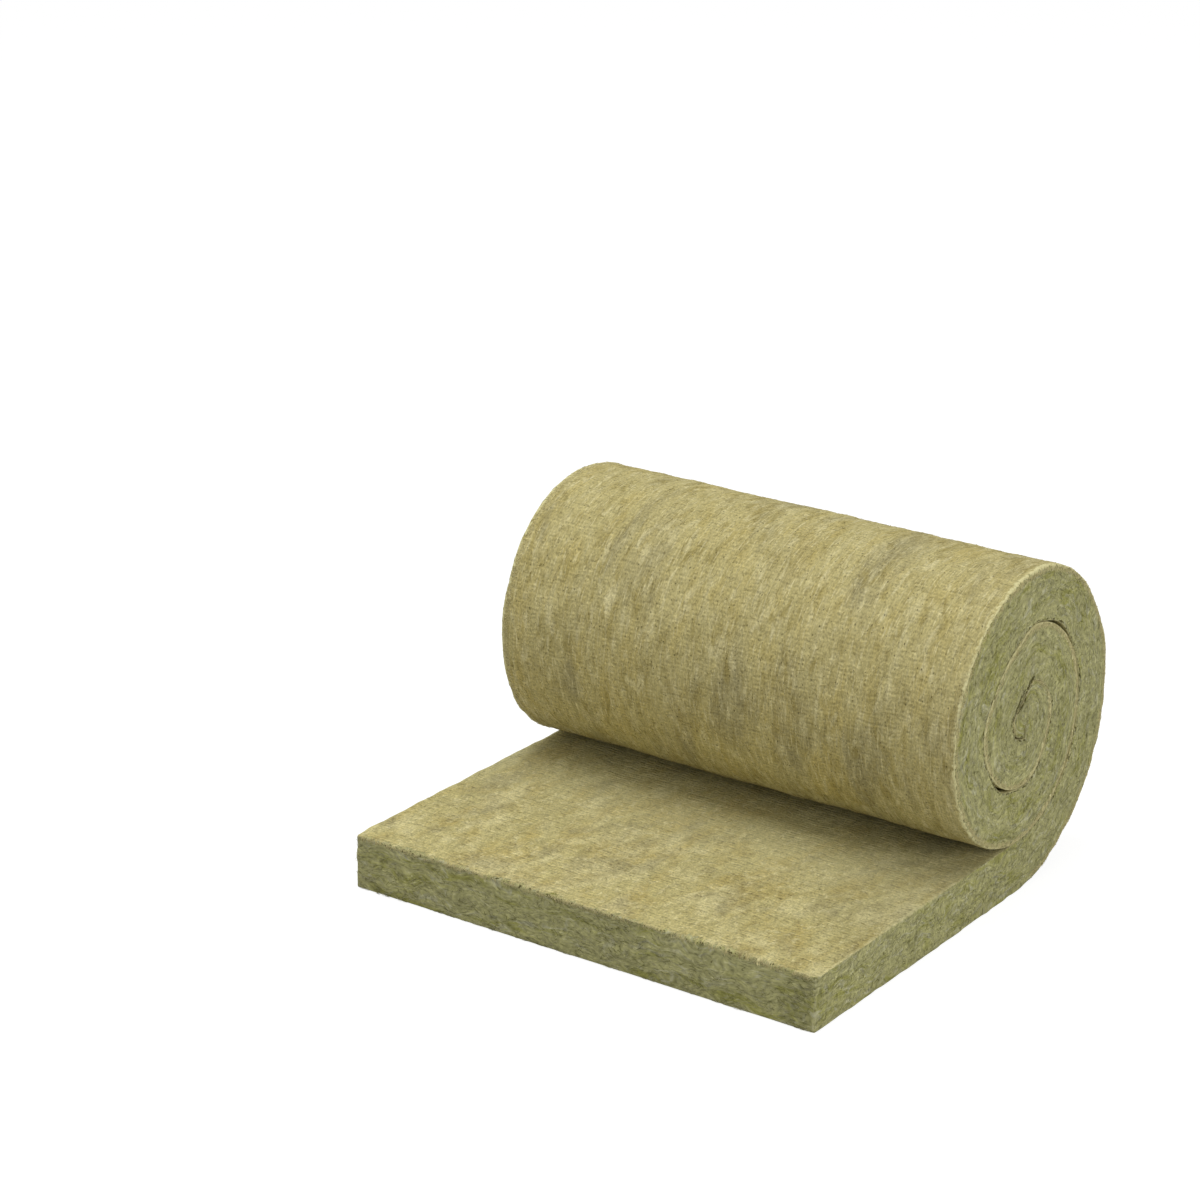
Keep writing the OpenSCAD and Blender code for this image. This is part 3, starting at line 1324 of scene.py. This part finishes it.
def fibre_layers(mat: Mat) -> list[tuple[FibreLayer, list[Stretch]]]:
    """Lists the kinds of loose fibre and where each lies on the mat.

    Args:
        mat: The mat that carries them.

    Returns:
        Each layer with its stretches.
    """
    path = mat.path
    laid, wound, end = path.laid_length, mat.length_at(360), float(mat.lengths[-1])
    wide, thick, lap = path.width, path.thickness, 6 * MM
    right, top, left = wide, wide + thick, 2 * wide + thick
    roll_face = Stretch(Ground.SWEPT, (laid + 0.03, wound - 0.02), (0, wide), 0.72)
    laid_face = Stretch(Ground.SWEPT, (0.012, laid - 0.06), (top, left), 0.10, 90)
    ends = [Stretch(Ground.SWEPT, (0.01, end - 0.02), (start + lap, start + thick - lap), 0.42)
            for start in (right, left)]
    cut = Stretch(Ground.CUT, (-wide / 2, wide / 2), (0, thick), 0.26)
    front = Stretch(Ground.FRINGE, (-3 * MM, 4 * MM), (top + lap, left - lap), 0.14)
    rims = [Stretch(Ground.SWEPT, (laid + 0.05, end - 0.02), (corner - 3 * MM, corner + 5 * MM), 0.33, 90)
            for corner in (right, left + thick)]
    pale, straw = FibreFinish("bleached skin fibre", "#D3C996"), FibreFinish("straw skin fibre", "#A99D66")
    ash, moss = FibreFinish("ashen core fibre", "#BFBB92"), FibreFinish("mossy core fibre", "#85834F")
    skins, edges, frays = [roll_face, laid_face], [*ends, cut], [front, *rims]
    return [
        (FibreLayer("pale_skin_fibres", pale, count=6500, length_mm=(12, 46), thickness_mm=0.7,
                    spread_deg=16, lift_mm=0.2, free_share=0.2, free_mm=2.4, seed=21), skins),
        (FibreLayer("straw_skin_fibres", straw, count=4000, length_mm=(8, 26), thickness_mm=0.8,
                    spread_deg=45, lift_mm=0.3, free_share=0.3, free_mm=2.6, seed=22), skins),
        (FibreLayer("pale_core_fibres", ash, count=7000, length_mm=(8, 30), thickness_mm=0.7,
                    spread_deg=26, lift_mm=0.3, free_share=0.3, free_mm=2.6, seed=23), edges),
        (FibreLayer("mossy_core_fibres", moss, count=3500, length_mm=(8, 22), thickness_mm=0.8,
                    spread_deg=32, lift_mm=0.3, free_share=0.3, free_mm=2.6, seed=24), edges),
        (FibreLayer("edge_fibres", pale, count=8000, length_mm=(7, 20), thickness_mm=0.9,
                    spread_deg=34, lift_mm=0.3, free_share=0.4, free_mm=2.6, seed=25), frays),
    ]


def main() -> None:
    """Builds the camera, the studio, the mat and its loose fibres, and reports each piece."""
    logging.basicConfig(level=logging.INFO, format="%(name)s: %(message)s")
    PhotoCamera().build()
    Studio().build()
    mat = Mat(MatPath.from_frame(), Section(), WoolFinish())
    roll = mat.build()
    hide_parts(MAT_NODE)
    pieces = [roll]
    pieces += [layer.build(mat, stretches) for layer, stretches in fibre_layers(mat)]
    for piece in pieces:
        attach(piece, BODY)
        log.info("%s: %d faces", piece.name, len(piece.data.polygons))


if __name__ == "__main__":
    main()
